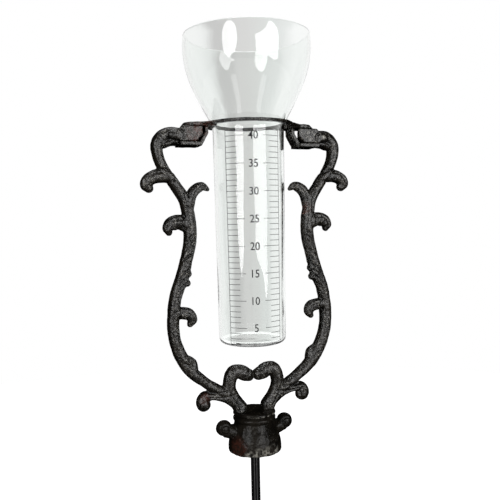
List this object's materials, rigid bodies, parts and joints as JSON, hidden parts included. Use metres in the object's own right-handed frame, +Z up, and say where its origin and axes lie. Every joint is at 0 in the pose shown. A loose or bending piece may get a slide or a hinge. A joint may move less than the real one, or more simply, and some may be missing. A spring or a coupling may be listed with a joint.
{
  "type": "manual rain gauge",
  "caption": "Glass rain gauge hanging in the ring of a scrolled cast-iron holder on a ground stake; the glass lifts out to be emptied.",
  "frame": {"origin": "on the stake's axis at ground level, where the rod enters the soil", "axes": "+Z up along the stake and the measuring tube; the two scroll arms lie along +X and -X; the scale faces -Y, turned 12 degrees towards -X"},
  "size_m": [0.1414, 0.0824, 1.1485],
  "materials": {
    "clear_glass": "clear blown glass",
    "scale_ink": "fired dark grey print",
    "cast_iron": "dark brown-black antique casting with dusty highlights and rust",
    "zinc_steel": "zinc-plated fasteners",
    "black_rod": "gloss black enamel"
  },
  "bodies": {
    "stake": {"stake_upper": "black_rod", "stake_lower": "black_rod", "stake_sleeve": "black_rod", "lock_nut": "zinc_steel", "lock_washer": "zinc_steel"},
    "holder": {"bell_socket": "cast_iron", "collar_plate": "cast_iron", "foot_screws": "zinc_steel", "left_arm": "cast_iron", "right_arm": "cast_iron", "ring_carrier": "cast_iron", "carrier_screws": "zinc_steel"},
    "glass": {"gauge_glass": "clear_glass", "scale_marks": "scale_ink"}
  },
  "joints": [
    {"name": "holder_turn", "type": "hinge", "parent": "stake", "child": "holder", "pos_m": [0, 0, 0.65], "axis": [0, 0, 1], "range_deg": [-180, 180]},
    {"name": "glass_lift", "type": "slide", "parent": "holder", "child": "glass", "axis": [0, 0, 1], "range_m": [0, 0.16]}
  ]
}
